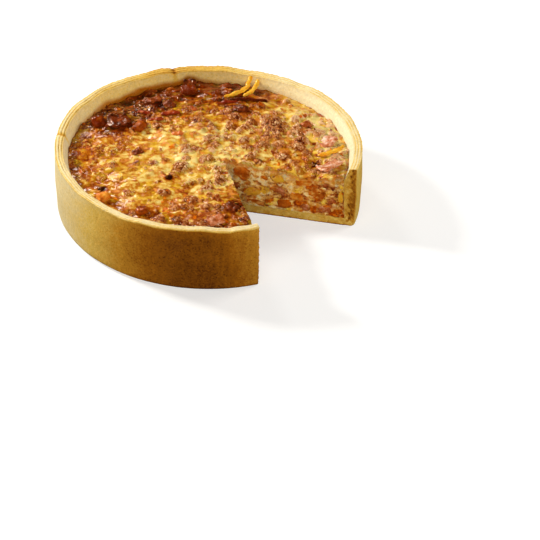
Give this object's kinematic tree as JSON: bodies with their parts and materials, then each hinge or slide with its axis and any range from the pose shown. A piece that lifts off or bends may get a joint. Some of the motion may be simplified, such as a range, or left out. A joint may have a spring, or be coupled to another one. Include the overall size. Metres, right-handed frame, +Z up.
{
  "type": "bacon butternut and cheddar tart",
  "caption": "Deep round savoury tart with a wedge cut away: tall shortcrust case, baked custard filling with diced butternut, bacon and melted cheddar, browned bumpy top.",
  "frame": {"origin": "centre of the whole tart's round base, on the plane it stands on", "axes": "+Z up, square to the base; the missing wedge opens towards +X and -Y"},
  "size_m": [0.2452, 0.244, 0.0553],
  "materials": {
    "pastry": "matte baked shortcrust, golden brown, paler at the rim and inside",
    "custard": "glossy browned top, satin pale custard where it is cut",
    "butternut": "moist roasted orange squash, darker at its edges",
    "bacon": "glossy cooked bacon, pink to dark red brown",
    "cheddar": "melted yellow cheddar, satin",
    "onion": "roasted onion strand, dark brown and glossy"
  },
  "bodies": {
    "root": {"bacon_left_1": "bacon", "bacon_left_2": "bacon", "bacon_left_3": "bacon", "bacon_left_4": "bacon", "bacon_right_1": "bacon", "bacon_right_2": "bacon", "bacon_right_3": "bacon", "bacon_right_4": "bacon", "bacon_right_5": "bacon", "bacon_right_6": "bacon", "bacon_strip_1": "bacon", "bacon_strip_2": "bacon", "bacon_strip_3": "bacon", "bacon_strip_4": "bacon", "bacon_strip_5": "bacon", "bacon_strip_6": "bacon", "bacon_top_1": "bacon", "bacon_top_10": "bacon", "bacon_top_11": "bacon", "bacon_top_2": "bacon", "bacon_top_3": "bacon", "bacon_top_4": "bacon", "bacon_top_5": "bacon", "bacon_top_6": "bacon", "bacon_top_7": "bacon", "bacon_top_8": "bacon", "bacon_top_9": "bacon", "butternut_left_1": "butternut", "butternut_left_2": "butternut", "butternut_left_3": "butternut", "butternut_left_4": "butternut", "butternut_right_1": "butternut", "butternut_right_2": "butternut", "butternut_right_3": "butternut", "butternut_right_4": "butternut", "butternut_right_5": "butternut", "butternut_right_6": "butternut", "butternut_top_1": "butternut", "butternut_top_2": "butternut", "butternut_top_3": "butternut", "butternut_top_4": "butternut", "butternut_top_5": "butternut", "cheddar_left_1": "cheddar", "cheddar_left_2": "cheddar", "cheddar_right_1": "cheddar", "cheddar_right_2": "cheddar", "cheddar_right_3": "cheddar", "cheddar_shred_1": "cheddar", "cheddar_shred_2": "cheddar", "cheddar_shred_3": "cheddar", "custard_filling": "custard", "onion_strand_1": "onion", "pastry_case": "pastry"}
  },
  "joints": []
}
